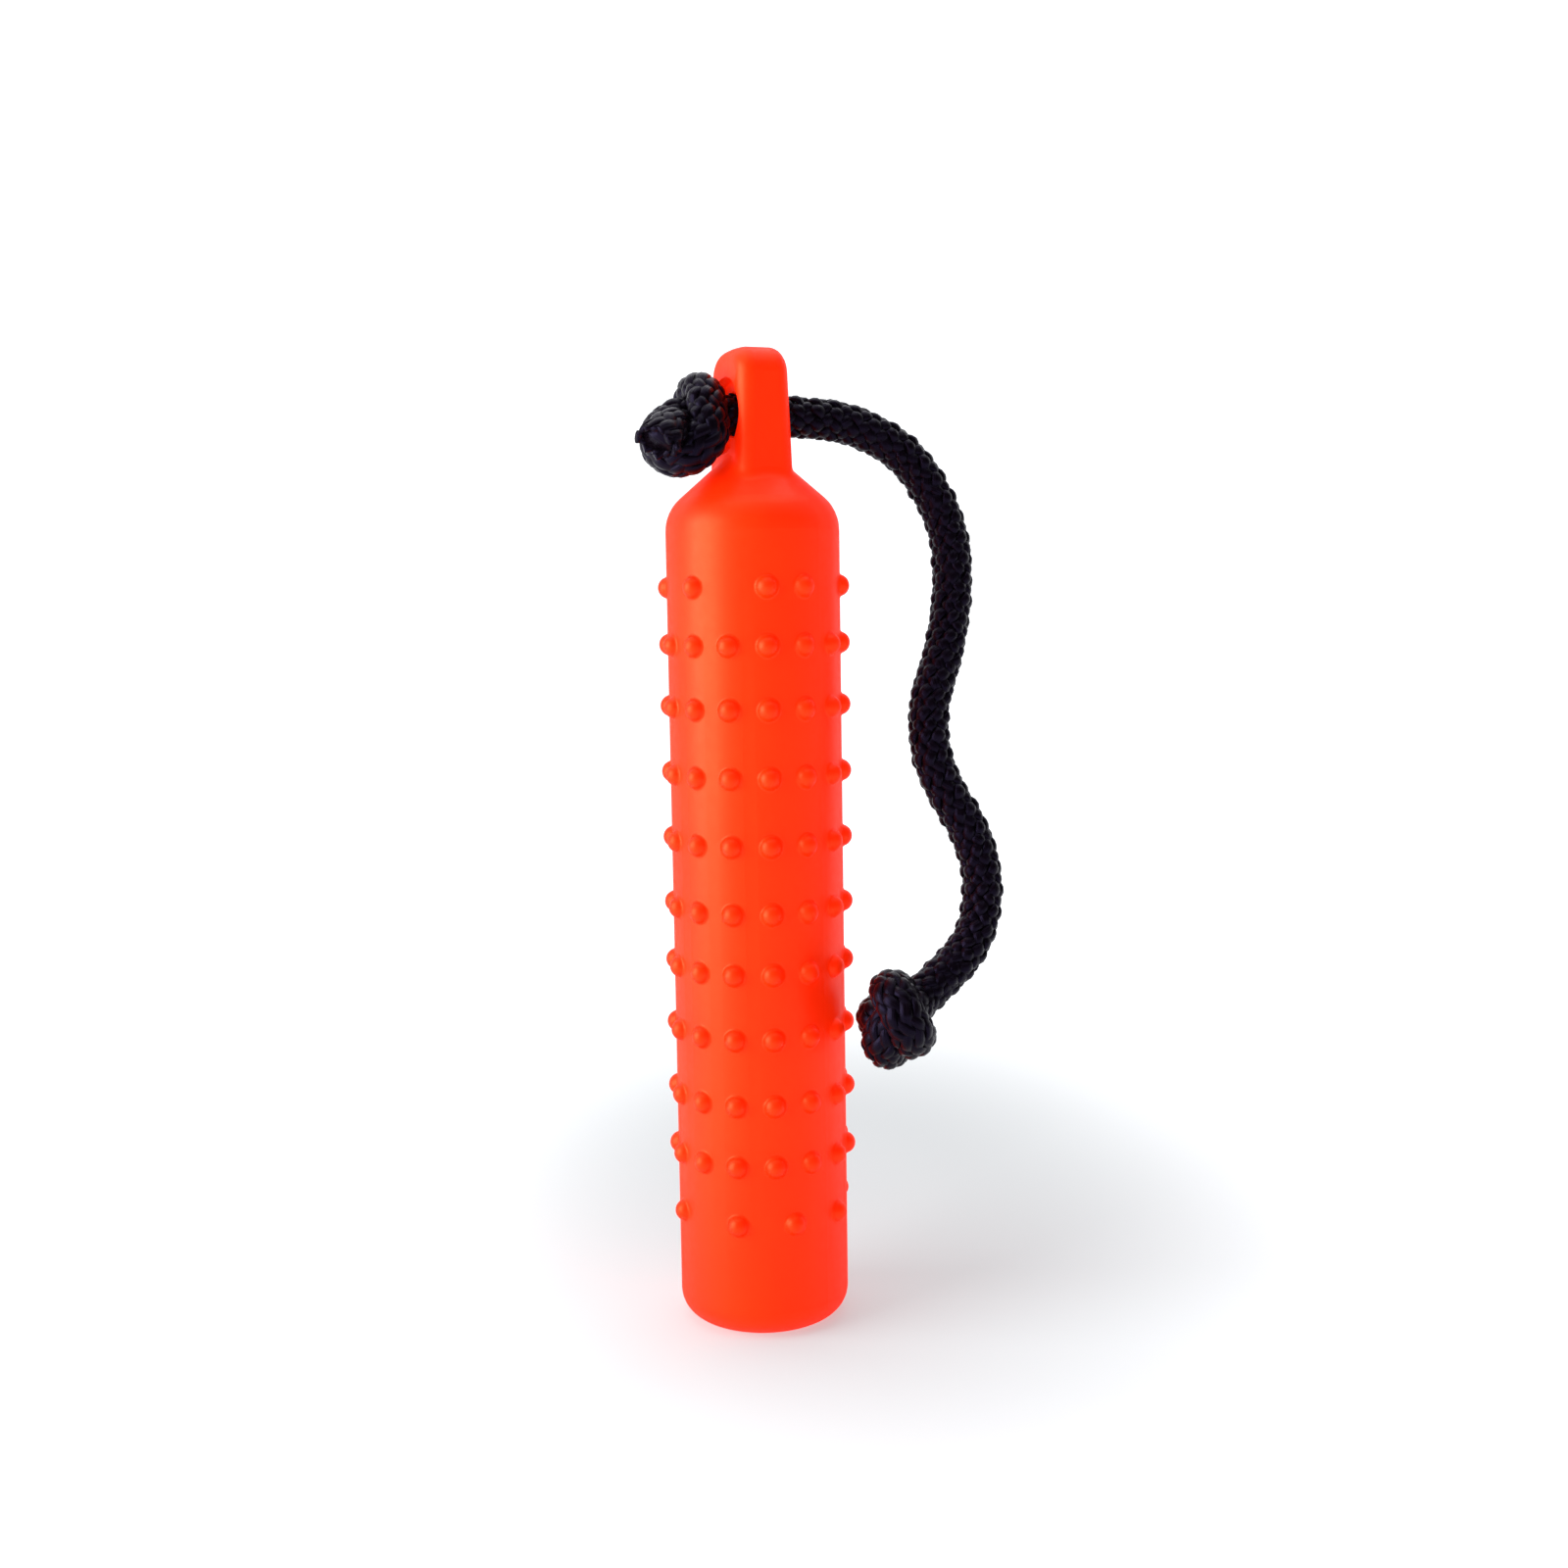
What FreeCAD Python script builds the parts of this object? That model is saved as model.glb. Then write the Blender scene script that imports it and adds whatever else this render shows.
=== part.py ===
# Knobby retrieving bumper with its throw rope.
# Frame: origin at the centre of the flat base, +Z up the body, X along the rope hole through the neck.
# The rope leaves the neck on the +X side, the stopper knot sits on the -X side. Millimetres.
import FreeCAD, Part
import math
import os
from FreeCAD import Vector as V

# ---- driving dimensions -------------------------------------------------------------------------
BODY_D = 52.0            # outside diameter of the barrel
TOTAL_H = 295.0          # base to the top of the neck
WALL = 4.0               # moulded wall
BASE_WALL = 5.0          # thicker floor, where the air valve sits
BASE_ROUND = 8.0         # radius round the bottom edge
BARREL_TOP = 247.4       # where the barrel and the shoulder cone would meet in a sharp corner
CONE_SLOPE = 41.0        # shoulder cone, degrees from level
SHOULDER_ROUND = 13.0    # radius between barrel and cone

NECK_THICK = 17.2        # along X, the way the rope runs
NECK_WIDE = 27.8         # along Y
NECK_TAPER = 1.6         # the neck is this much wider and thicker at its foot than at its top
NECK_EDGE_ROUND = 4.6    # all round the edge of each broad side
NECK_TOP_ROUND = 8.0     # top corners seen along X
NECK_CROWN = 1.2         # how far the top arches
NECK_FOOT_ROUND = 5.0    # where the neck runs out of the shoulder
NECK_FOOT_Z = 241.4      # the neck's stump starts inside the shoulder

HOLE_Z = 275.5           # height of the rope hole
ROPE_D = 12.0            # braided rope
HOLE_D = ROPE_D + 1.5
SEAT_D = 19.6            # round recess at each end of the hole, where the stopper knot nests
SEAT_DEPTH = 3.0

NUB_H = 2.8              # how far a nub stands out
NUB_D = 6.5              # nub diameter where it meets the barrel
NUB_FOOT_ROUND = 0.8     # where a nub runs out into the barrel
NUBS_ROUND = 14          # places round one full row
TOP_ROW_Z = 225.0
ROW_GAPS = (17, 18.5, 20, 20, 20, 18, 19.5, 20, 18.5, 18)   # from the top row downwards

VALVE_D = 8.0
VALVE_HEAD_D = 12.0
VALVE_HEAD_H = 1.2
VALVE_BARB_D = 11.0
VALVE_BARB_H = 2.4
BASE_DISH_D = 20.0       # shallow dish round the valve, so that it never touches the ground
BASE_DISH_H = 1.0

CORE_D = 6.0             # filler yarns inside the braid


# ---- body ---------------------------------------------------------------------------------------
def revolved(points):
    """Turns an outline of (radius, height) about Z. The seam lies between two columns of nubs."""
    wire = Part.makePolygon([V(x, 0, z) for x, z in points] + [V(points[0][0], 0, points[0][1])])
    shape = Part.Face(wire).revolve(V(0, 0, 0), V(0, 0, 1), 360)
    shape.rotate(V(0, 0, 0), V(0, 0, 1), 360.0 / NUBS_ROUND - 90)
    return shape


def cone_height(radius):
    """Height of the shoulder cone's surface at a radius."""
    return BARREL_TOP + (BODY_D / 2 - radius) * math.tan(math.radians(CONE_SLOPE))


def barrel(radius, bottom, cone_drop, top_radius):
    """A closed barrel with its shoulder cone; cone_drop lowers the cone for an inner wall."""
    slope = math.tan(math.radians(CONE_SLOPE))
    corner = BARREL_TOP - cone_drop + (BODY_D / 2 - radius) * slope
    top = corner + (radius - top_radius) * slope
    return revolved([(0, bottom), (radius, bottom), (radius, corner), (top_radius, top), (0, top)])


def edges_at(shape, radius, height):
    """The round edges of a turned shape at one radius and height."""
    found = []
    for edge in shape.Edges:
        if isinstance(edge.Curve, Part.Circle) and abs(edge.Curve.Radius - radius) < 0.01:
            if abs(edge.Curve.Center.z - height) < 0.01:
                found.append(edge)
    return found


def outer_barrel():
    shape = barrel(BODY_D / 2, 0, 0, 6.0)
    shape = shape.makeFillet(BASE_ROUND, edges_at(shape, BODY_D / 2, 0))
    return shape.makeFillet(SHOULDER_ROUND, edges_at(shape, BODY_D / 2, BARREL_TOP))


def cavity():
    radius = BODY_D / 2 - WALL
    drop = WALL / math.cos(math.radians(CONE_SLOPE))
    shape = barrel(radius, BASE_WALL, drop, 9.0)
    inner_round = BASE_ROUND - WALL
    return shape.makeFillet(inner_round, edges_at(shape, radius, BASE_WALL))


def pushed_through(outline, half_length=30):
    """A closed outline in the XZ plane, made a slab along Y."""
    slab = Part.Face(outline).extrude(V(0, 2 * half_length, 0))
    slab.translate(V(0, -half_length, 0))
    return slab


def neck_broad_side():
    """The neck as seen along X: narrower upwards, with an arched top and round top corners."""
    foot, head = (NECK_WIDE + NECK_TAPER) / 2, (NECK_WIDE - NECK_TAPER) / 2
    side_z = TOTAL_H - NECK_CROWN
    corners = [V(-head, 0, side_z), V(-foot, 0, NECK_FOOT_Z), V(foot, 0, NECK_FOOT_Z), V(head, 0, side_z)]
    arch = Part.Arc(corners[-1], V(0, 0, TOTAL_H), corners[0]).toShape()
    slab = pushed_through(Part.Wire(Part.makePolygon(corners).Edges + [arch]))
    top_corners = [e for e in slab.Edges if abs(e.BoundBox.ZMin - side_z) < 0.01 and e.BoundBox.YLength > 1]
    slab = slab.makeFillet(NECK_TOP_ROUND, top_corners)
    slab.rotate(V(0, 0, 0), V(0, 0, 1), 90)
    return slab


def neck_narrow_side():
    """The neck as seen along Y, open-ended above, because the broad side ends it."""
    foot, head = (NECK_THICK + NECK_TAPER) / 2, (NECK_THICK - NECK_TAPER) / 2
    half = [(foot, NECK_FOOT_Z), (head, TOTAL_H), (head, TOTAL_H + 5)]
    around = half + [(-x, z) for x, z in reversed(half)] + half[:1]
    return pushed_through(Part.makePolygon([V(x, 0, z) for x, z in around]))


def neck():
    bar = neck_broad_side().common(neck_narrow_side())
    rims = [e for e in bar.Edges if e.BoundBox.XLength < NECK_TAPER and e.BoundBox.ZMax > NECK_FOOT_Z + 1]
    return bar.makeFillet(NECK_EDGE_ROUND, rims)


def body_with_neck():
    shape = outer_barrel().fuse(neck()).removeSplitter()
    lowest, highest = cone_height(BODY_D / 2 - SHOULDER_ROUND / 2), cone_height(0)
    seam = [e for e in shape.Edges if e.BoundBox.ZMin > lowest and e.BoundBox.ZMax < highest]
    return shape.makeFillet(NECK_FOOT_ROUND, seam)


def row_angles(row):
    """Degrees from +X of one row's nubs. Each half of the mould, left and right, has seven places."""
    step = 360.0 / NUBS_ROUND
    full = [(i + 0.5) * step - 90 for i in range(NUBS_ROUND)]
    half = NUBS_ROUND // 2
    if row == 0:
        return [angle for i, angle in enumerate(full) if i % half % 2 == 0]
    if row == len(ROW_GAPS):
        return [angle for i, angle in enumerate(full) if i % half % 2 == 1] + [-90, 90]
    return full


def nub_places():
    """Angle and height of every nub, from the top row down."""
    places, height = [], TOP_ROW_Z
    for row, gap in enumerate(ROW_GAPS + (0,)):
        places += [(angle, height) for angle in row_angles(row)]
        height -= gap
    return places


def nubs():
    """One low dome, a slice of a ball, copied to every place. The ball's seam faces inwards."""
    ball_r = (NUB_D ** 2 / 4 + NUB_H ** 2) / (2 * NUB_H)
    centre = BODY_D / 2 + NUB_H - ball_r
    ball = Part.makeSphere(ball_r)
    ball.rotate(V(0, 0, 0), V(0, 0, 1), 180)
    ball.translate(V(centre, 0, 0))
    copies = []
    for angle, height in nub_places():
        nub = ball.copy()
        nub.rotate(V(0, 0, 0), V(0, 0, 1), angle)
        nub.translate(V(0, 0, height))
        copies.append(nub)
    return copies


def nub_feet(shape):
    """The edges, one round each nub, where the nubs stand on the barrel."""
    found = []
    for edge in shape.Edges:
        point = edge.valueAt(edge.FirstParameter)
        on_barrel = abs(math.hypot(point.x, point.y) - BODY_D / 2) < 0.05
        if on_barrel and abs(edge.BoundBox.ZLength - NUB_D) < 0.1 * NUB_D:
            found.append(edge)
    return found


def seats_and_hole():
    """Rope hole with a round, slightly flared seat at each end."""
    cutters = [Part.makeCylinder(HOLE_D / 2, 4 * NECK_THICK, V(-2 * NECK_THICK, 0, HOLE_Z), V(1, 0, 0))]
    floor = NECK_THICK / 2 - SEAT_DEPTH
    for side in (1, -1):
        mouth_r = SEAT_D / 2 + 4.0
        cutters.append(Part.makeCone(SEAT_D / 2, mouth_r, 8.0, V(side * floor, 0, HOLE_Z), V(side, 0, 0)))
    return cutters


def valve_hole():
    bore = Part.makeCylinder(VALVE_D / 2, BASE_WALL + 1, V(0, 0, 0))
    head = Part.makeCylinder(VALVE_HEAD_D / 2, BASE_DISH_H + VALVE_HEAD_H, V(0, 0, 0))
    dish = Part.makeCone(BASE_DISH_D / 2, BASE_DISH_D / 2 - 1.5, BASE_DISH_H, V(0, 0, 0))
    return [bore, head, dish]


def moulded_body():
    shape = body_with_neck()
    shape = shape.multiFuse(nubs())
    feet = nub_feet(shape)
    print("nubs:", len(feet))
    shape = shape.makeFillet(NUB_FOOT_ROUND, feet)
    return shape.cut([cavity()] + valve_hole() + seats_and_hole())


def air_valve():
    """Rubber needle valve: head in the dish, stem through the floor, barb inside."""
    head_z = BASE_DISH_H
    stem_z = head_z + VALVE_HEAD_H
    barb_z = BASE_WALL
    top_z = barb_z + VALVE_BARB_H
    dimple_r, dimple_h = 1.5, 1.0
    return revolved([
        (0, head_z + dimple_h), (dimple_r, head_z), (VALVE_HEAD_D / 2, head_z),
        (VALVE_HEAD_D / 2, stem_z), (VALVE_D / 2, stem_z), (VALVE_D / 2, barb_z),
        (VALVE_BARB_D / 2, barb_z), (VALVE_D / 2 - 1, top_z), (0, top_z),
    ])


# ---- rope ---------------------------------------------------------------------------------------
# The run from the stopper knot, through the neck and down to the throw knot. Each point is a corner
# that an arc rounds.
ROUTE = [V(*p) for p in (
    (-5.3, 0.0, 275.5), (14.2, 0.0, 275.5), (34.5, -0.3, 273.9), (52.5, -2.5, 263.2),
    (62.2, -6.4, 244.1), (62.4, -10.2, 225.5), (57.2, -14.3, 205.4), (48.4, -18.0, 186.8),
    (49.1, -21.8, 168.2), (61.4, -26.0, 147.6), (62.4, -29.9, 128.5), (53.0, -33.4, 111.6),
    (36.0, -35.3, 102.1),
)]


def rounded_path(points):
    """Straight runs joined by tangent arcs; returns the wire and the arcs' radii."""
    edges, radii, start = [], [], points[0]
    for before, corner, after in zip(points, points[1:], points[2:]):
        into, out = corner - before, after - corner
        reach = 0.45 * min(into.Length, out.Length)
        half_turn = into.getAngle(out) / 2
        radius = reach / math.tan(half_turn)
        towards, away = V(into).normalize(), V(out).normalize()
        begin, end = corner - towards * reach, corner + away * reach
        inward = (away - towards).normalize()
        middle = corner + inward * (radius / math.cos(half_turn) - radius)
        edges.append(Part.LineSegment(start, begin).toShape())
        edges.append(Part.Arc(begin, middle, end).toShape())
        radii.append(radius)
        start = end
    edges.append(Part.LineSegment(start, points[-1]).toShape())
    return Part.Wire(edges), radii


def rod_along(points, diameter):
    path, radii = rounded_path(points)
    ring = Part.Wire(Part.makeCircle(diameter / 2, points[0], points[1] - points[0]))
    solid = path.makePipeShell([ring], True, False, 2)
    return solid, path, radii


def lobes(balls):
    """A knot's outer shape: fused balls, one for each turn of rope that shows."""
    first, *rest = [Part.makeSphere(radius, V(*centre)) for centre, radius in balls]
    return first.multiFuse(rest).removeSplitter()


STOPPER_LOBES = (
    ((-15.6, 0.0, 279.3), 8.7), ((-19.0, -4.5, 273.5), 8.6), ((-19.0, 4.5, 273.5), 8.6),
    ((-22.0, 0.0, 267.6), 10.4),
)
STOPPER_TAIL = (V(-26.0, 0, 267.6), V(-37.4, 0, 266.6), 6.0)

THROW_LOBES = (
    ((26.0, -36.4, 97.2), 11.2), ((25.6, -34.3, 105.8), 7.6), ((19.2, -36.0, 99.0), 7.6),
    ((33.0, -37.2, 93.6), 8.0),
)
THROW_TAIL = (V(19.0, -38.6, 87.6), V(29.0, -39.2, 86.2), 5.4)


def tail(tail_from, tail_to, radius):
    run = tail_to - tail_from
    return Part.makeCylinder(radius, run.Length, tail_from, run)


def rope_parts():
    stopper, thrower = lobes(STOPPER_LOBES), lobes(THROW_LOBES)
    rope, path, radii = rod_along(ROUTE, ROPE_D)
    core = rod_along(ROUTE, CORE_D)[0]
    print("arc radii in rope diameters:", [round(r / ROPE_D, 1) for r in radii])
    print("rope run %.1f mm, tube volume over section times length %.4f"
          % (path.Length, rope.Volume / (path.Length * math.pi * ROPE_D ** 2 / 4)))
    return {
        "throw_rope": rope.cut([core, thrower]),
        "rope_core": core.cut(thrower),
        "stopper_knot": stopper,
        "stopper_tail": tail(*STOPPER_TAIL).cut(stopper),
        "throw_knot": thrower,
        "throw_tail": tail(*THROW_TAIL).cut(thrower),
    }


# ---- write --------------------------------------------------------------------------------------
parts = {"moulded_body": moulded_body(), "air_valve": air_valve()}
parts.update(rope_parts())
os.makedirs("parts", exist_ok=True)
for name, shape in parts.items():
    box = shape.BoundBox
    print("%-13s solids %d valid %s volume %8.0f mm3  x %.1f..%.1f  y %.1f..%.1f  z %.1f..%.1f" % (
        name, len(shape.Solids), shape.isValid(), shape.Volume,
        box.XMin, box.XMax, box.YMin, box.YMax, box.ZMin, box.ZMax))
    shape.exportStep("parts/" + name + ".step")
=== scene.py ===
# %% [markdown]
# # A knobby retrieving bumper with its throw rope
# A retrieving bumper is a soft hollow moulding that a handler throws and a dog fetches.
# Two things make it look real. One is the satin, almost glowing vinyl with its soft nubs.
# The other is a black braided rope, knotted on one side of the neck and again at its free end.
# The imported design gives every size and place, and this lesson adds the looks around it.

# %% Load the fixed frame
import math

import bpy
import numpy as np
from mathutils import Matrix, Vector


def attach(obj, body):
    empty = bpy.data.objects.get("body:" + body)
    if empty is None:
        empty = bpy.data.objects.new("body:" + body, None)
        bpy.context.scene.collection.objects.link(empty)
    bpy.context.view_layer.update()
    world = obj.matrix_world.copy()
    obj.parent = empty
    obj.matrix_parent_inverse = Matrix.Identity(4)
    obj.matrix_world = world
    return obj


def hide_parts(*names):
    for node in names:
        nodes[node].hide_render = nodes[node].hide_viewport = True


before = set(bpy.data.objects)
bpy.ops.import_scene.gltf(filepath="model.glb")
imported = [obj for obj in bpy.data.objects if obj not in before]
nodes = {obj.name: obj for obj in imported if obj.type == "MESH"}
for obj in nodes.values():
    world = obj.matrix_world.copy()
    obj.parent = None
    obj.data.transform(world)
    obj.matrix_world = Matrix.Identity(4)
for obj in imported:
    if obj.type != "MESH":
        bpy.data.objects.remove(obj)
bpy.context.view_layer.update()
scene = bpy.context.scene
MM = 0.001
print("loaded", sorted(nodes))

# %% [markdown]
# ## The camera
# The camera stands on a tripod at the bumper's left front, a little under the height of its neck.
# It could be aimed with a Track To constraint, but a real tripod head has three angles.
# Giving it the same three (turn, tilt and roll) keeps the slight lean that a hand-set camera has.

# %% Set up the camera
CAMERA_TURN = math.radians(-21.459)    # round the bumper's axis, from straight in front
CAMERA_AWAY = 0.5437
CAMERA_HEIGHT = 0.2263
AIM_TURN = math.radians(-0.877)        # the head is turned a touch off the axis
AIM_TILT = math.radians(-6.409)
AIM_ROLL = math.radians(-0.864)
LENS_MM = 41.33

camera_data = bpy.data.cameras.new("camera")
camera_data.lens = LENS_MM
camera = bpy.data.objects.new("camera", camera_data)
scene.collection.objects.link(camera)
stand = Vector((math.sin(CAMERA_TURN), -math.cos(CAMERA_TURN), 0)) * CAMERA_AWAY
stand.z = CAMERA_HEIGHT
head = (Matrix.Rotation(CAMERA_TURN + AIM_TURN, 4, "Z")
        @ Matrix.Rotation(math.pi / 2 + AIM_TILT, 4, "X")
        @ Matrix.Rotation(AIM_ROLL, 4, "Z"))
camera.matrix_world = Matrix.Translation(stand) @ head
scene.camera = camera
print("camera at", [round(v, 3) for v in stand])

# %% [markdown]
# ## The rope's line
# The rope leaves the hole, arcs over and hangs in a lazy S down to its throw knot.
# A NURBS curve of order 3 turns a few listed points into such a line with no kinks.
# The points are the same ones that the design's tube was bent along.
# The braid below follows the curve's own points, so a change of route carries everything with it.

# %% Draw the rope's line
ROPE_D = 0.012
ROUTE_MM = (
    (-5.3, 0, 275.5), (14.2, 0, 275.5), (34.5, -0.3, 273.9), (52.5, -2.5, 263.2),
    (62.2, -6.4, 244.1), (62.4, -10.2, 225.5), (57.2, -14.3, 205.4), (48.4, -18.0, 186.8),
    (49.1, -21.8, 168.2), (61.4, -26.0, 147.6), (62.4, -29.9, 128.5), (53.0, -33.4, 111.6),
    (36.0, -35.3, 102.1),
)


def nurbs_line(points, resolution=24):
    """The points that Blender itself draws for a smooth curve through a route."""
    curve = bpy.data.curves.new("route", "CURVE")
    curve.dimensions = "3D"
    curve.resolution_u = resolution
    spline = curve.splines.new("NURBS")
    spline.points.add(len(points) - 1)
    for point, place in zip(spline.points, points):
        point.co = (*place, 1)
    spline.order_u = 3
    spline.use_endpoint_u = True
    holder = bpy.data.objects.new("route", curve)
    drawn = bpy.data.meshes.new_from_object(holder)
    line = np.array([v.co for v in drawn.vertices])
    bpy.data.meshes.remove(drawn)
    bpy.data.objects.remove(holder)
    bpy.data.curves.remove(curve)
    return line


def line_length(line):
    return float(np.linalg.norm(np.diff(line, axis=0), axis=1).sum())


rope_line = nurbs_line([[v * MM for v in point] for point in ROUTE_MM])

# %% [markdown]
# ## How a braid is built
# The rope is a braid of polypropylene yarns round a filler core.
# Half of the yarns wind left, half wind right, and each goes over one and under the next.
# So a yarn is a helix round the rope's line whose distance from that line rises and falls.
# The right-handed ones rise exactly where the left-handed ones dip.
# Two helpers are needed first: even steps along a line, and axes that travel along it without twisting.

# %% Helpers for following a line


def even_steps(line, step):
    """The line again, cut into equal steps near the wanted size."""
    for _ in range(2):
        along = np.r_[0, np.cumsum(np.linalg.norm(np.diff(line, axis=0), axis=1))]
        count = max(int(round(along[-1] / step)) + 1, 4)
        marks = np.linspace(0, along[-1], count)
        line = np.stack([np.interp(marks, along, line[:, i]) for i in range(3)], 1)
    return line, marks


def unit(vectors):
    return vectors / np.linalg.norm(vectors, axis=-1, keepdims=True)


def travelling_axes(line):
    """Forward, side and up at each point. Each pair turns no more than the line itself does."""
    forward = unit(np.gradient(line, axis=0))
    start = np.array((0, 0, 1.0)) if abs(forward[0][2]) < 0.9 else np.array((0, 1.0, 0))
    side = [unit(np.cross(start, forward[0]))]
    for ahead in forward[1:]:
        side.append(unit(side[-1] - ahead * (side[-1] @ ahead)))
    side = np.array(side)
    return forward, side, np.cross(forward, side)


# %% [markdown]
# A yarn is a bundle of fine filaments, pressed flat where it lies on the rope.
# Its section is a flattened oval that keeps its broad face outwards.
# Each ring of the section is joined to the next one, and both ends are closed.
# A UV map runs across and along each yarn, so that the filaments can be drawn on it later.

# %% Sweep a yarn
YARN_SIDES = 8


def swept(path, outward, width, thick, sides=YARN_SIDES):
    """Corners, faces and UVs of a flat yarn along a path. Width and thickness may vary along it."""
    count = len(path)
    forward = unit(np.gradient(path, axis=0))
    up = unit(outward - forward * (outward * forward).sum(1, keepdims=True))
    across = np.cross(forward, up)
    turn = np.arange(sides) * 2 * math.pi / sides + math.pi / sides
    wide = np.broadcast_to(np.asarray(width, float), (count,))[:, None, None] / 2
    tall = np.broadcast_to(np.asarray(thick, float), (count,))[:, None, None] / 2
    ring = (np.cos(turn)[None, :, None] * wide * across[:, None]
            + np.sin(turn)[None, :, None] * tall * up[:, None])
    corners = (path[:, None] + ring).reshape(-1, 3)
    along = np.r_[0, np.cumsum(np.linalg.norm(np.diff(path, axis=0), axis=1))]
    faces, uvs = [], []
    for i in range(count - 1):
        for k in range(sides):
            n = (k + 1) % sides
            faces.append((i * sides + k, (i + 1) * sides + k, (i + 1) * sides + n, i * sides + n))
            left, right = k / sides, (k + 1) / sides
            uvs += [(left, along[i]), (left, along[i + 1]), (right, along[i + 1]), (right, along[i])]
    faces.append(tuple(range(sides)))
    faces.append(tuple((count - 1) * sides + k for k in reversed(range(sides))))
    uvs += [(k / sides, 0.0) for k in range(sides)]
    uvs += [(k / sides, along[-1]) for k in range(sides)]
    return corners, faces, uvs


def mesh_piece(name, parts):
    """One object from several swept parts."""
    corners, faces, uvs, first = [], [], [], 0
    for part_corners, part_faces, part_uvs in parts:
        corners.append(part_corners)
        faces += [tuple(i + first for i in face) for face in part_faces]
        uvs += part_uvs
        first += len(part_corners)
    mesh = bpy.data.meshes.new(name)
    mesh.from_pydata(np.concatenate(corners).tolist(), [], faces)
    layer = mesh.uv_layers.new(name="yarn")
    layer.data.foreach_set("uv", np.array(uvs, np.float32).ravel())
    mesh.polygons.foreach_set("use_smooth", [True] * len(mesh.polygons))
    mesh.validate()
    piece = bpy.data.objects.new(name, mesh)
    scene.collection.objects.link(piece)
    return piece


# %% [markdown]
# Now the braid itself. `LAY` is the length in which a yarn goes once round the rope.
# With eight yarns each way, a yarn shows its crown every eighth of a lay.
# No rope is perfect, so the braid slowly turns, and each yarn's width and crowns differ a little.
# Where the rope is squeezed into a knot, its round section is pressed flat towards the knot's middle.

# %% Braid a rope along a line
CARRIERS = 8                  # yarns wound each way
LAY = 0.050
YARN_WIDE = 0.0037
YARN_THICK = 0.0018
CROWN = 0.00075               # how far a yarn rises and dips
PROUD = 0.0004                # how far the highest crowns stand outside the nominal rope
STEPS_PER_CROWN = 9
CORE_SIDES = 24
CORE_SLACK = 0.0003           # how much thinner the core is than the circle on which the yarns lie
HAND_BIAS = 0.18              # one hand's yarns lie this part of a crown higher, and the other's lower
DRIFT, DRIFT_LENGTH = 0.5, 0.055   # the braid turns to and fro by so many radians, slowly along the rope

# Unevenness along a yarn: how long its ups and downs are, in metres, and how large.
WANDER = (0.009, 0.045)       # round the rope, in radians
CROWN_UNEVEN = (0.007, 0.22)
WIDTH_UNEVEN = (0.006, 0.05)
THICK_UNEVEN = (0.006, 0.06)
YARN_TO_YARN = 0.06           # how much one yarn's width differs from the next one's

# A frayed end: how far its yarns may spread in or out, and how much shorter yarns and core may be,
# as a part of the frayed length.
SPLAY = (-0.0006, 0.0016)
YARN_SHORT, CORE_SHORT = 0.6, 0.5

# Where a knot presses the rope: how its section changes, and between which distances from the
# knot's middle, in rope diameters, that happens.
WIDER, FLATTER = 0.12, 0.14
PRESS_FROM, PRESS_TO = 0.4, 2.6

# The cap on a cut end: where it starts and stops along the rope, and how its edge is rounded.
CAP_FROM, CAP_TO = -0.0006, 0.0001
CAP_TAPER = (1.0, 1.0, 0.985, 0.93)
CAP_RADIUS = 0.47 * ROPE_D


def along_noise(rng, along, grain, size):
    """Smooth random ups and downs along a yarn, about `grain` metres long."""
    knots = np.arange(0, along[-1] + 2 * grain, grain)
    return np.interp(along, knots, rng.normal(size=len(knots))) * size


def braid_parts(line, seed, press_towards=None, relief=1.0, fray=0.0):
    """All yarns of one stretch of rope, and the filler core under them. Relief scales the crowns."""
    rng = np.random.default_rng(seed)
    line, along = even_steps(line, LAY / CARRIERS / STEPS_PER_CROWN)
    forward, side, up = travelling_axes(line)
    press = pressing(line, forward, press_towards)
    middle = ROPE_D / 2 + PROUD - CROWN - YARN_THICK / 2
    drift = DRIFT * np.sin(along / DRIFT_LENGTH + seed)
    loose = np.clip((along - along[-1] + fray) / fray, 0, 1) ** 2 if fray else 0 * along
    parts = []
    for hand in (1, -1):
        wave = hand * np.cos(2 * math.pi * CARRIERS * along / LAY)
        lift = wave + HAND_BIAS * hand
        for carrier in range(CARRIERS):
            angle = 2 * math.pi * (carrier / CARRIERS + hand * along / LAY) + drift
            angle = angle + along_noise(rng, along, *WANDER)
            radial = np.cos(angle)[:, None] * side + np.sin(angle)[:, None] * up
            height = relief * CROWN * lift * (1 + along_noise(rng, along, *CROWN_UNEVEN))
            reach = middle + height + loose * rng.uniform(*SPLAY)
            path = line + press(reach[:, None] * radial)
            keep = len(path)
            if fray:
                keep -= int(rng.integers(0, max(int(YARN_SHORT * fray / along[1]), 1)))
            own_width = YARN_TO_YARN * rng.normal()
            width = YARN_WIDE * (1 + own_width + along_noise(rng, along, *WIDTH_UNEVEN))
            thick = YARN_THICK * (1 + along_noise(rng, along, *THICK_UNEVEN))
            parts.append(swept(path[:keep], radial[:keep], width[:keep], thick[:keep]))
    core_end = len(line) - int(CORE_SHORT * fray / along[1])
    core = 2 * middle - CORE_SLACK
    core_corners, core_faces, core_uvs = swept(line[:core_end], side[:core_end], core, core, CORE_SIDES)
    spine = np.repeat(line[:core_end], CORE_SIDES, axis=0)
    pressed = np.repeat(np.arange(core_end), CORE_SIDES)
    core_corners = spine + press(core_corners - spine, pressed)
    parts.append((core_corners, core_faces, core_uvs))
    return parts


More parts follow.
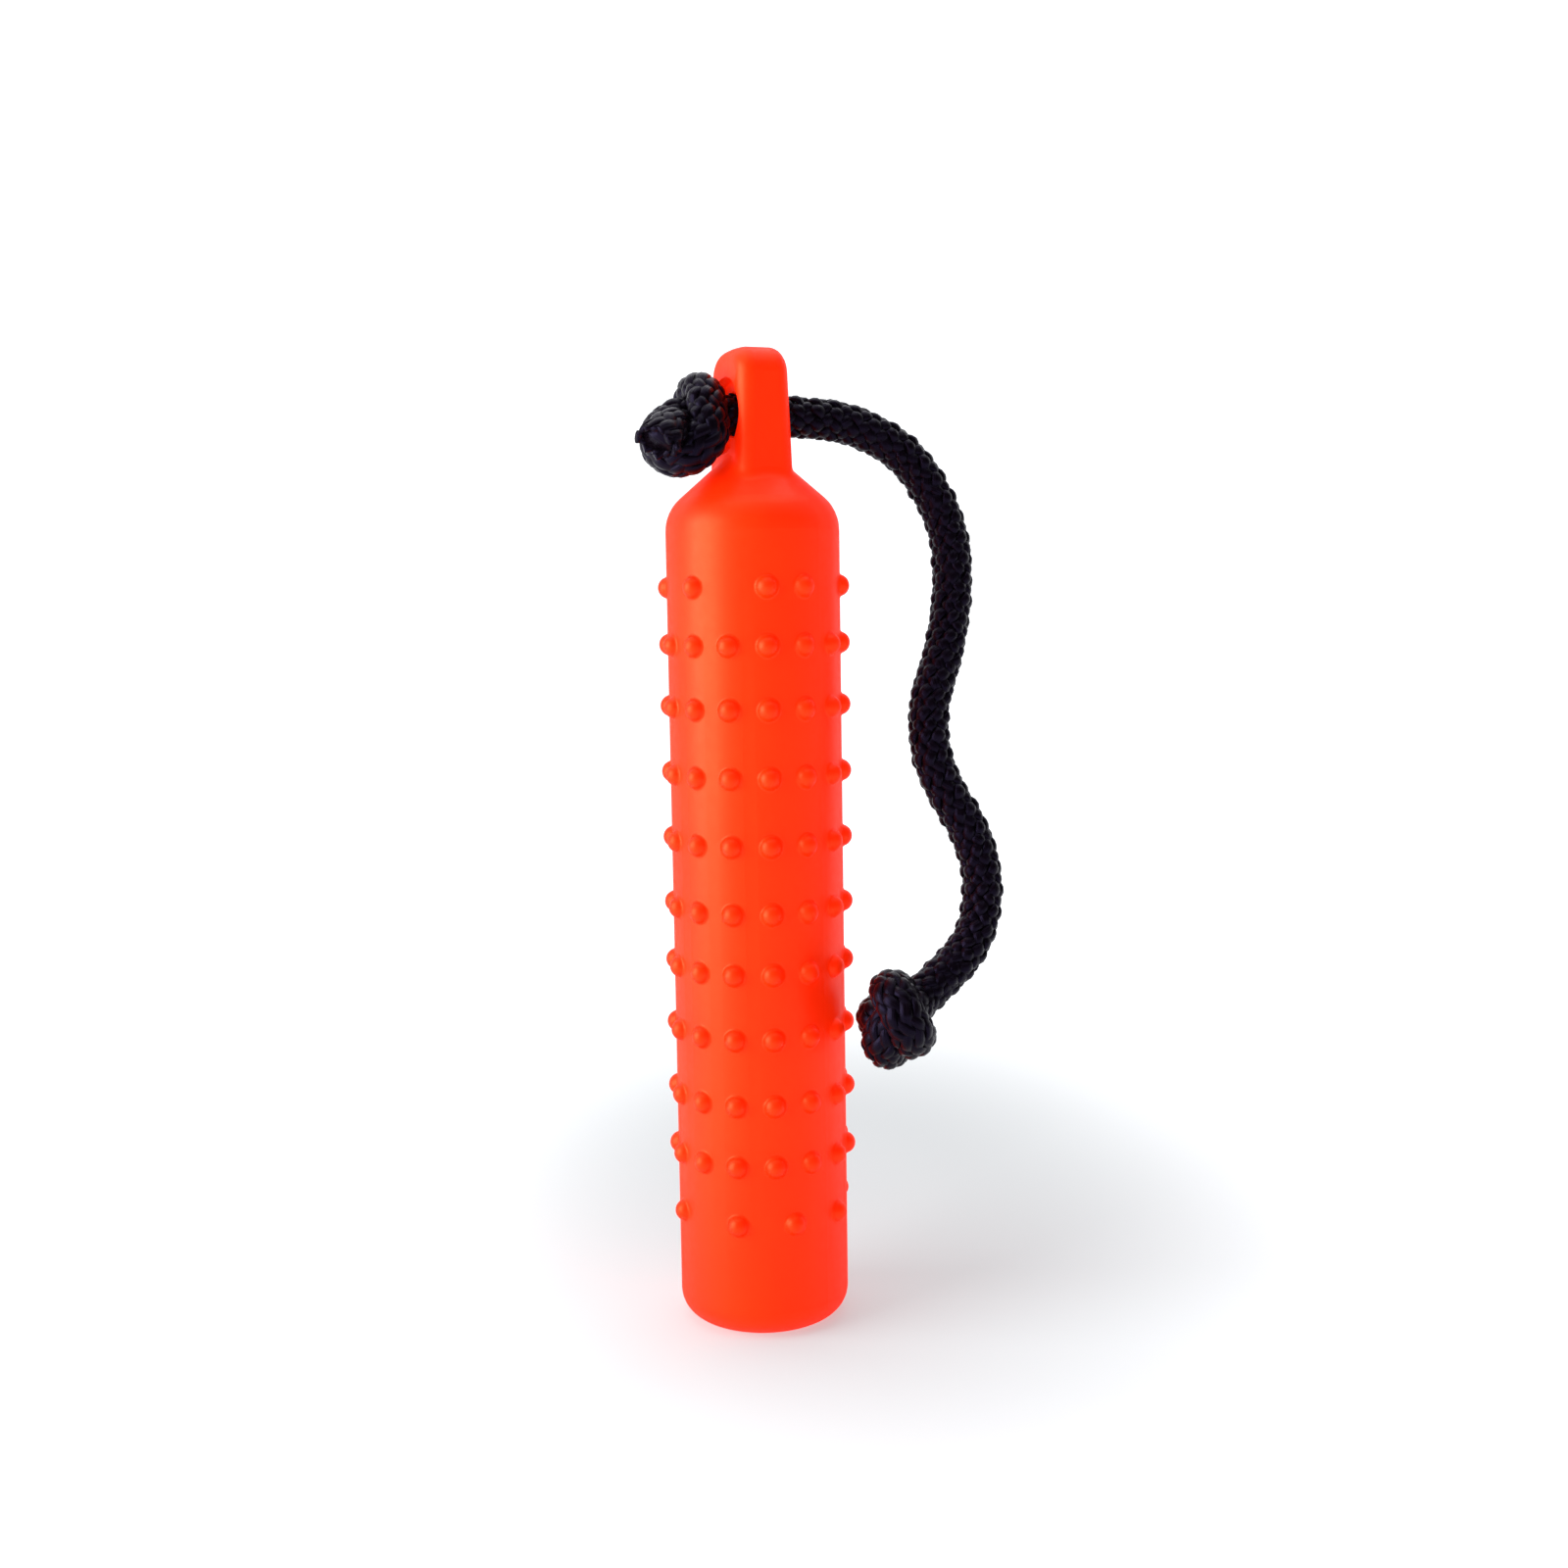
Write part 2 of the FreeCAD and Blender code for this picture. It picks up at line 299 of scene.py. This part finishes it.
def melted_end(line):
    """The flat cap that a hot knife leaves on a cut rope."""
    ahead = unit(line[-1] - line[-2])
    path = line[-1] + np.linspace(CAP_FROM, CAP_TO, len(CAP_TAPER))[:, None] * ahead
    side = np.broadcast_to(unit(np.cross(ahead, (0, 0, 1.0))), path.shape)
    wide = 2 * CAP_RADIUS * np.array(CAP_TAPER)
    return swept(path, side, wide, wide, CORE_SIDES)


def pressing(line, forward, centre):
    """A function that flattens offsets from the line, towards a centre if there is one."""
    if centre is None:
        return lambda offset, rows=slice(None): offset
    inward = np.asarray(centre) - line
    inward = inward - forward * (inward * forward).sum(1, keepdims=True)
    far = np.linalg.norm(inward, axis=1, keepdims=True)
    amount = (np.clip(far / (PRESS_FROM * ROPE_D), 0, 1)
              * np.clip((PRESS_TO * ROPE_D - far) / ROPE_D, 0, 1))
    inward = inward / np.maximum(far, 1e-9)

    def press(offset, rows=slice(None)):
        toward, share = inward[rows], amount[rows]
        flatter = (offset * toward).sum(1, keepdims=True) * toward
        return offset * (1 + WIDER * share) - flatter * (WIDER + FLATTER) * share

    return press


throw_rope = mesh_piece("braided_rope", braid_parts(rope_line, seed=1))
print("rope run:", len(throw_rope.data.polygons), "faces")

# %% [markdown]
# ## Tying an overhand knot
# Both knots are overhand knots. A tight one is hard to draw by hand, because its turns touch everywhere.
# It is easier to do what the hands do: lay a loose knot, then pull its ends until it jams.
# A short formula lays the loose knot. The rope is then a chain of points with three habits:
# neighbours keep their distance, the chain resists bending, and no two turns come closer than a rope
# that is squeezed. Repeating those while the ends are pulled gives a real jammed knot.
# The unit here is one rope diameter, and the result serves both knots.

# %% Lay a loose knot and pull it tight
LINK = 0.33            # chain step, in rope diameters
SQUEEZED = 0.72        # how near two turns come to each other when the knot jams
ONE_BEND = 1.25        # links nearer than this along the rope belong to one bend
PUSH = 1.3             # turns are pushed apart by a little more than they lack
PULLS = 450
HARD_TUG, SOFT_TUG = 0.3, 0.09     # how far each pull moves an end, at first and for the last fifth
HARD_SHARE = 0.8
SECOND_LINK = 0.7      # the link behind the end follows by this part of the tug
SETTLING = 14          # rounds in which the chain settles after each pull
STRAIGHTENING = 0.02   # how far a link moves to the middle of its neighbours in each round
LINK_ROUNDS = 3
TOUCHING = 1.06        # turns this near, as a part of SQUEEZED, lie on each other


def loose_knot():
    """An open overhand knot with straight ends."""
    t = np.linspace(-2.1, 2.1, 300)
    line = np.stack([t ** 3 - 3 * t, 0.7 * (t ** 4 - 4 * t ** 2 + 2), 1.04 * (t ** 5 / 5 - 2 * t)], 1)
    first, last = unit(line[0] - line[2]), unit(line[-1] - line[-3])
    line = np.vstack([line[0] + first, line, line[-1] + last])
    line, _ = even_steps(line, LINK)
    line -= line.mean(0)
    pull = unit(line[0] - line[-1])
    across = unit(np.cross((0, 0, 1), pull))
    return line @ np.stack([pull, across, np.cross(pull, across)], 1)


def far_apart_pairs(count):
    """Pairs of links too far apart along the rope to be neighbours in one bend."""
    return np.triu_indices(count, int(math.ceil(ONE_BEND / LINK)))


def push_apart(line, first, second):
    """Moves turns that are nearer than the squeezed rope away from each other."""
    gap = line[second] - line[first]
    size = np.sqrt((gap * gap).sum(1))
    near = size < SQUEEZED
    if not near.any():
        return
    i, j = first[near], second[near]
    move = (0.5 * (SQUEEZED - size[near]) / size[near])[:, None] * gap[near]
    total, hits = np.zeros_like(line), np.zeros(len(line))
    np.add.at(total, i, -move)
    np.add.at(total, j, move)
    np.add.at(hits, i, 1)
    np.add.at(hits, j, 1)
    line += PUSH * total / np.maximum(hits, 1)[:, None]


def keep_links(line):
    """Puts every link back to its own length, first the even ones and then the odd ones."""
    for parity in (0, 1):
        count = (len(line) - parity) // 2
        a = line[parity:parity + 2 * count:2]
        b = line[parity + 1:parity + 1 + 2 * count:2]
        gap = b - a
        shift = 0.5 * (1 - LINK / np.sqrt((gap * gap).sum(1))[:, None]) * gap
        a += shift
        b -= shift


def pulled_tight(line):
    """The knot after both of its ends have been pulled until it jams."""
    line = line.copy()
    first, second = far_apart_pairs(len(line))
    for pull in range(PULLS):
        tug = HARD_TUG if pull < HARD_SHARE * PULLS else SOFT_TUG
        line[0, 0] += tug
        line[1, 0] += SECOND_LINK * tug
        line[-1, 0] -= tug
        line[-2, 0] -= SECOND_LINK * tug
        for _ in range(SETTLING):
            line[1:-1] += STRAIGHTENING * ((line[:-2] + line[2:]) / 2 - line[1:-1])
            push_apart(line, first, second)
            for _ in range(LINK_ROUNDS):
                keep_links(line)
    return line


knot_chain = pulled_tight(loose_knot())
first, second = far_apart_pairs(len(knot_chain))
apart = np.linalg.norm(knot_chain[second] - knot_chain[first], axis=1)
touching = apart < TOUCHING * SQUEEZED
knot_in, knot_out = int(first[touching].min()), int(second[touching].max())
print("tight knot: %.1f rope diameters of rope" % ((knot_out - knot_in) * LINK))

# %% [markdown]
# ## Putting a knot on the rope
# The jammed knot is turned so that its standing end points back along the rope, and then rolled round
# that direction until its turns lie as they should. A knot tied the other way round is its mirror image.
# From the last turn the tail bends away towards its own direction.
# The whole line is smoothed by the same kind of curve that the rope's run uses.

# %% Place a knot
JAMMED_D = 0.0123      # one unit of the chain in metres, a little over ROPE_D to give the turns room
STANDING_LINKS = 6     # links of the standing end that show which way the knot points
TAIL_BEND = 0.45       # how fast a tail turns to its own direction
KNOT_RESOLUTION = 12
LEAD_POINTS = 14       # the throw knot's line starts this many points before the run's end


def facing(direction):
    """Axes with the first one along a direction."""
    ahead = unit(np.asarray(direction, float))
    across = unit(np.cross((0, 0, 1), ahead))
    return np.stack([ahead, across, np.cross(ahead, across)], 1)


def turned_about(axis, degrees):
    """The turn by an angle about an axis, as a matrix."""
    return np.array(Matrix.Rotation(math.radians(degrees), 3, Vector(axis)))


def bent_towards(place, heading, target, links):
    """A stretch of rope that leaves a knot and bends towards a direction."""
    heading, target, out = unit(heading), unit(np.asarray(target, float)), []
    for _ in range(links):
        heading = unit(heading + TAIL_BEND * (target - heading * (heading @ target)))
        place = place + heading * LINK * ROPE_D
        out.append(place)
    return out


def placed_knot(centre, standing, tied, roll, tilt, tail_towards, tail_links, lead):
    """The knot's line in metres. `standing` points from the knot back along the rope."""
    chain = knot_chain * (1, 1, tied)
    chain = chain @ facing(chain[knot_in - STANDING_LINKS] - chain[knot_in + 1])
    axes = facing(standing)
    axes = turned_about(axes[:, 1], tilt[0]) @ turned_about(axes[:, 2], tilt[1]) @ axes
    middle = chain[knot_in:knot_out + 1].mean(0)
    rolled = (chain - middle) @ turned_about((1, 0, 0), roll).T @ axes.T
    line = rolled * JAMMED_D + np.asarray(centre)
    turns = line[knot_in:knot_out + 1]
    tail = bent_towards(turns[-1], turns[-1] - turns[-2], tail_towards, tail_links)
    return nurbs_line(np.vstack([lead, turns, tail]), KNOT_RESOLUTION)


KNOT_RELIEF = 0.6      # a knot's yarns are pulled flatter than those of the free run
STOPPER_CENTRE = (-0.0195, 0.0004, 0.2717)
stopper_line = placed_knot(
    STOPPER_CENTRE, standing=(1, 0, 0), tied=1, roll=330, tilt=(0, 0),
    tail_towards=(-0.6, -0.35, -1.0), tail_links=4,
    lead=[(-0.0040, 0, 0.2755), (-0.0075, 0, 0.2755)])
stopper_parts = braid_parts(stopper_line, seed=5, press_towards=STOPPER_CENTRE,
                            relief=KNOT_RELIEF, fray=0.004)
stopper_knot = mesh_piece("stopper_overhand_knot", stopper_parts)

THROW_CENTRE = (0.0288, -0.0379, 0.0974)
throw_line = placed_knot(
    THROW_CENTRE, standing=(0.87, 0.097, 0.486), tied=-1, roll=210, tilt=(-15, -30),
    tail_towards=(0.9, 0.1, -0.5), tail_links=4,
    lead=[rope_line[-LEAD_POINTS], rope_line[-1]])
throw_parts = braid_parts(throw_line, seed=9, press_towards=THROW_CENTRE, relief=KNOT_RELIEF)
throw_parts.append(melted_end(throw_line))
throw_knot = mesh_piece("throw_overhand_knot", throw_parts)
print("knots: %.0f mm and %.0f mm of rope"
      % (line_length(stopper_line) / MM, line_length(throw_line) / MM))

# %% [markdown]
# ## The finishes
# Each finish is a small network of nodes. A few helpers keep the wiring short. `node` makes a node, sets
# its inputs and links whatever is already a socket, and the others make the kinds that come up again.

# %% Helpers for node networks
NOISE_LOW, NOISE_HIGH = 0.3, 0.7       # nearly all of a noise texture lies between these


def new_material(name):
    """A new material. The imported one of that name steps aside, so that the name is free."""
    plain = bpy.data.materials.get(name)
    if plain:
        plain.name = name + "_as_packed"
    material = bpy.data.materials.new(name)
    material.use_nodes = True
    tree = material.node_tree
    return material, tree, tree.nodes["Principled BSDF"]


def node(tree, kind, settings=None, **inputs):
    """A node with its settings and inputs. An underscore stands for the space in an input's name."""
    made = tree.nodes.new(kind)
    for key, value in (settings or {}).items():
        setattr(made, key, value)
    for key, value in inputs.items():
        wire(tree, made, key.replace("_", " "), value)
    return made


def wire(tree, target, name, value):
    """Links a socket to an input, or sets the input to a plain value."""
    socket = target.inputs[int(name)] if name.isdigit() else target.inputs[name]
    if isinstance(value, bpy.types.NodeSocket):
        tree.links.new(value, socket)
    else:
        socket.default_value = value


def ramp(tree, value, start, end, low, high, settings=None):
    """Runs from low to high while the value runs from start to end."""
    return node(tree, "ShaderNodeMapRange", settings, Value=value,
                From_Min=start, From_Max=end, To_Min=low, To_Max=high).outputs[0]


def spread(tree, fac, low, high):
    """A value that runs from low to high as a noise runs over its usual range."""
    return ramp(tree, fac, NOISE_LOW, NOISE_HIGH, low, high)


def on_object(tree):
    """A point's place on the object, in metres."""
    return node(tree, "ShaderNodeTexCoord").outputs["Object"]


def noise(tree, place, scale, detail):
    return node(tree, "ShaderNodeTexNoise", Vector=place, Scale=scale, Detail=detail).outputs[0]


def two_tone(tree, fac, first, second):
    """One colour turning into another. A Mix node's colours are its inputs 6 and 7."""
    return node(tree, "ShaderNodeMix", {"data_type": "RGBA"},
                **{"0": fac, "6": first, "7": second}).outputs[2]


def bump(tree, height, strength, distance, **under):
    return node(tree, "ShaderNodeBump", Strength=strength, Distance=distance, Height=height,
                **under).outputs[0]


# %% [markdown]
# The vinyl is dyed with a fluorescent pigment. Such a pigment sends out more orange light than falls
# on it as orange, so a little emission is added to a very pure base colour. That emission glows the same
# in light and shade, so it
# is partly painted light: it keeps the shaded side of the barrel bright red.
# Soft vinyl also lets light in a few tenths of a millimetre, which rounds off the shading of the nubs.
# Its moulded skin is satin: a slow change in colour, a fine unevenness in gloss, and a grain too fine
# to see singly. Seen at a grazing angle such a grain hides itself, so the gloss fades to the outline.

# %% Vinyl
vinyl, tree, skin = new_material("vinyl")
place = on_object(tree)
slow = noise(tree, place, 28.0, 3.0)
fine = noise(tree, place, 420.0, 4.0)
grain = noise(tree, place, 1500.0, 2.0)
tint = two_tone(tree, spread(tree, slow, 0.0, 1.0), (1.0, 0.020, 0.0008, 1), (1.0, 0.027, 0.0012, 1))
edge_on = node(tree, "ShaderNodeLayerWeight", Blend=0.5).outputs["Facing"]
gloss = ramp(tree, edge_on, 0.25, 0.78, 0.36, 0.03)
for name, value in (("Base Color", tint), ("Roughness", spread(tree, fine, 0.40, 0.47)),
                    ("Specular IOR Level", gloss), ("Specular Tint", (1.0, 0.72, 0.27, 1)),
                    ("Subsurface Weight", 0.12), ("Subsurface Radius", (1.0, 0.25, 0.08)),
                    ("Subsurface Scale", 0.0012),
                    # Painted glow: the emission stands for the fluorescence and also lifts the shaded
                    # side of the vinyl.
                    ("Emission Color", (1.0, 0.014, 0.0002, 1)), ("Emission Strength", 0.50)):
    wire(tree, skin, name, value)
grain_bump = bump(tree, grain, 0.25, 0.00004)
wire(tree, skin, "Normal", bump(tree, slow, 0.20, 0.0003, Normal=grain_bump))

# %% [markdown]
# The valve in the base is dull black rubber. It is kept a little lighter than the rope, so that it
# reads as rubber.

# %% Valve rubber
rubber, tree, skin = new_material("valve_rubber")
mottle = noise(tree, on_object(tree), 900.0, 5.0)
wire(tree, skin, "Base Color", (0.022, 0.021, 0.022, 1))
wire(tree, skin, "Roughness", spread(tree, mottle, 0.55, 0.72))
wire(tree, skin, "Normal", bump(tree, mottle, 0.3, 0.00006))

# %% [markdown]
# The rope is black polypropylene. A yarn is a flat bundle of shiny filaments, so its highlight is
# drawn out across the filaments and has a cold, bluish violet cast.
# The UV map gives each yarn's own directions. Noise that is stretched a long way along the yarn makes
# the filaments, and slower noise makes some patches shine a little more than others.

# %% Rope braid
braid, tree, skin = new_material("rope_braid")
yarn_uv = node(tree, "ShaderNodeUVMap", {"uv_map": "yarn"}).outputs[0]
combed = node(tree, "ShaderNodeMapping", Vector=yarn_uv, Scale=(26.0, 160.0, 1.0)).outputs[0]
filaments = noise(tree, combed, 1.0, 3.0)
patches = noise(tree, on_object(tree), 260.0, 2.0)
shade = two_tone(tree, spread(tree, filaments, 0.0, 1.0),
                 (0.0015, 0.0006, 0.0012, 1), (0.0050, 0.0026, 0.0050, 1))
grain_way = node(tree, "ShaderNodeTangent", {"direction_type": "UV_MAP", "uv_map": "yarn"}).outputs[0]
for name, value in (("Base Color", shade), ("Roughness", spread(tree, patches, 0.24, 0.38)),
                    ("Specular IOR Level", 0.12), ("Specular Tint", (0.50, 0.40, 1.0, 1)),
                    ("Anisotropic", 0.55), ("Tangent", grain_way)):
    wire(tree, skin, name, value)
wire(tree, skin, "Normal", bump(tree, filaments, 0.7, 0.00022))

# %% [markdown]
# The filler under the yarns is hardly seen. It is a matt, slightly fibrous black.

# %% Rope filler
filler, tree, skin = new_material("rope_filler")
fuzz = noise(tree, on_object(tree), 1200.0, 4.0)
wire(tree, skin, "Base Color", (0.004, 0.003, 0.004, 1))
wire(tree, skin, "Roughness", spread(tree, fuzz, 0.7, 0.9))
wire(tree, skin, "Normal", bump(tree, fuzz, 0.5, 0.0001))

# %% [markdown]
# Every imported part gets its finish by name. The parts of the rope share the braid.

# %% Give every piece its finish
finish_of = {"moulded_body": vinyl, "air_valve": rubber, "rope_core": filler}
for name, shown in nodes.items():
    shown.data.materials.clear()
    shown.data.materials.append(finish_of.get(name, braid))
for piece in (throw_rope, stopper_knot, throw_knot):
    piece.data.materials.append(braid)
print("finishes:", sorted(m.name for m in bpy.data.materials))

# %% [markdown]
# ## The studio
# The sweep is a pale floor that curves up into a backdrop, so there is no horizon.
# A plane is made, its far edge is pulled up, and the fold is bevelled into a wide curve.

# %% Build the sweep
SWEEP_WIDE, SWEEP_HIGH = 9.0, 4.0
SWEEP_FRONT, SWEEP_BACK = -3.0, 1.6
FOLD_RADIUS, FOLD_STEPS = 1.0, 24

bpy.ops.object.select_all(action="DESELECT")
bpy.ops.mesh.primitive_plane_add(size=1)
sweep = bpy.context.object
sweep.name = "sweep"
for corner in sweep.data.vertices:
    corner.co.x *= SWEEP_WIDE
    corner.co.y = SWEEP_FRONT if corner.co.y < 0 else SWEEP_BACK
bpy.ops.object.mode_set(mode="EDIT")
bpy.ops.mesh.select_all(action="DESELECT")
bpy.ops.object.mode_set(mode="OBJECT")
for edge in sweep.data.edges:
    edge.select = all(sweep.data.vertices[i].co.y > 0 for i in edge.vertices)
bpy.ops.object.mode_set(mode="EDIT")
bpy.ops.mesh.select_mode(type="EDGE")
bpy.ops.mesh.extrude_region_move(TRANSFORM_OT_translate={"value": (0, 0, SWEEP_HIGH)})
bpy.ops.object.mode_set(mode="OBJECT")
fold = sweep.modifiers.new("fold", "BEVEL")
fold.width, fold.segments = FOLD_RADIUS, FOLD_STEPS
fold.limit_method = "ANGLE"
bpy.ops.object.modifier_apply(modifier=fold.name)
sweep.data.transform(Matrix.Rotation(CAMERA_TURN, 4, "Z"))
for face in sweep.data.polygons:
    face.use_smooth = True

print("sweep:", len(sweep.data.polygons), "faces")

# %% [markdown]
# The paper is nearly white, but round the bumper a soft grey pool of shadow is painted into it. Lights
# alone could make such a shadow, but they would also change the shine of the vinyl. So the paper glows a
# little by itself, and the glow is weaker in an
# oval patch on the floor: that dip is the painted shadow. A Mapping node places and stretches the patch,
# and the distance from its middle sets the glow.

# %% Paper with a painted shadow
# Where the painted shadow lies on the floor, and how far it reaches.
PAINTED_SHADOW_MIDDLE = (0.072, 0.101, 0)
PAINTED_SHADOW_SIZE = (0.20, 0.31, 1.0)

paper_with_painted_shadow, tree, skin = new_material("paper_with_painted_shadow")
painted_shadow_place = node(tree, "ShaderNodeMapping", {"vector_type": "TEXTURE"}, Vector=on_object(tree),
            Location=PAINTED_SHADOW_MIDDLE, Rotation=(0, 0, CAMERA_TURN), Scale=PAINTED_SHADOW_SIZE).outputs[0]
away = node(tree, "ShaderNodeVectorMath", {"operation": "LENGTH"}, **{"0": painted_shadow_place}).outputs["Value"]
# The glow is weakest near the bumper, which paints a soft shadow there. Far off, the paper is evenly
# white.
glow_with_painted_shadow = ramp(tree, away, 0.2, 1.25, 0.37, 0.95, {"interpolation_type": "SMOOTHSTEP"})
for name, value in (("Base Color", (0.33, 0.36, 0.365, 1)), ("Roughness", 0.9),
                    ("Specular IOR Level", 0.0),
                    ("Emission Color", (0.985, 0.975, 1.0, 1)), ("Emission Strength", glow_with_painted_shadow)):
    wire(tree, skin, name, value)
sweep.data.materials.append(paper_with_painted_shadow)

# %% [markdown]
# One big softbox stands low on the left. It gives the broad satin band down the barrel and the lighter
# edge on the neck's front left. A wide soft light overhead lights the sweep and blurs the shadow.
# The room itself stays dim, because a satin surface would show a bright room as a milky haze.

# %% Place the lights
ROOM_GLOW = 0.12


def softbox(name, place, aim, wide, high, power):
    """A rectangular light that faces the point it is aimed at."""
    light = bpy.data.lights.new(name, "AREA")
    light.shape, light.size, light.size_y = "RECTANGLE", wide, high
    light.energy = power
    holder = bpy.data.objects.new(name, light)
    scene.collection.objects.link(holder)
    holder.location = place
    holder.rotation_euler = (Vector(aim) - Vector(place)).to_track_quat("-Z", "Y").to_euler()


softbox("key", (-0.85, 0.00, 0.34), (0, 0, 0.18), 0.70, 0.80, 13.0)
softbox("overhead", (0.0, 0.20, 1.40), (0, 0, 0), 1.6, 1.6, 12.0)

world = bpy.data.worlds.new("room")
world.use_nodes = True
scene.world = world
background = world.node_tree.nodes["Background"]
background.inputs["Color"].default_value = (1, 0.98, 0.98, 1)
background.inputs["Strength"].default_value = ROOM_GLOW
scene.view_settings.view_transform = "Standard"
scene.view_settings.look = "None"

# %% [markdown]
# ## Tie the looks to the design
# Each new piece moves with one body of the design and takes the place of the plain parts it stands for.

for piece, body, stands_for in (
        (throw_rope, "throw_line", ("throw_rope", "rope_core")),
        (throw_knot, "throw_line", ("throw_knot", "throw_tail")),
        (stopper_knot, "stopper", ("stopper_knot", "stopper_tail"))):
    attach(piece, body)
    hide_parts(*stands_for)

# %% End of the scene
print("scene built")
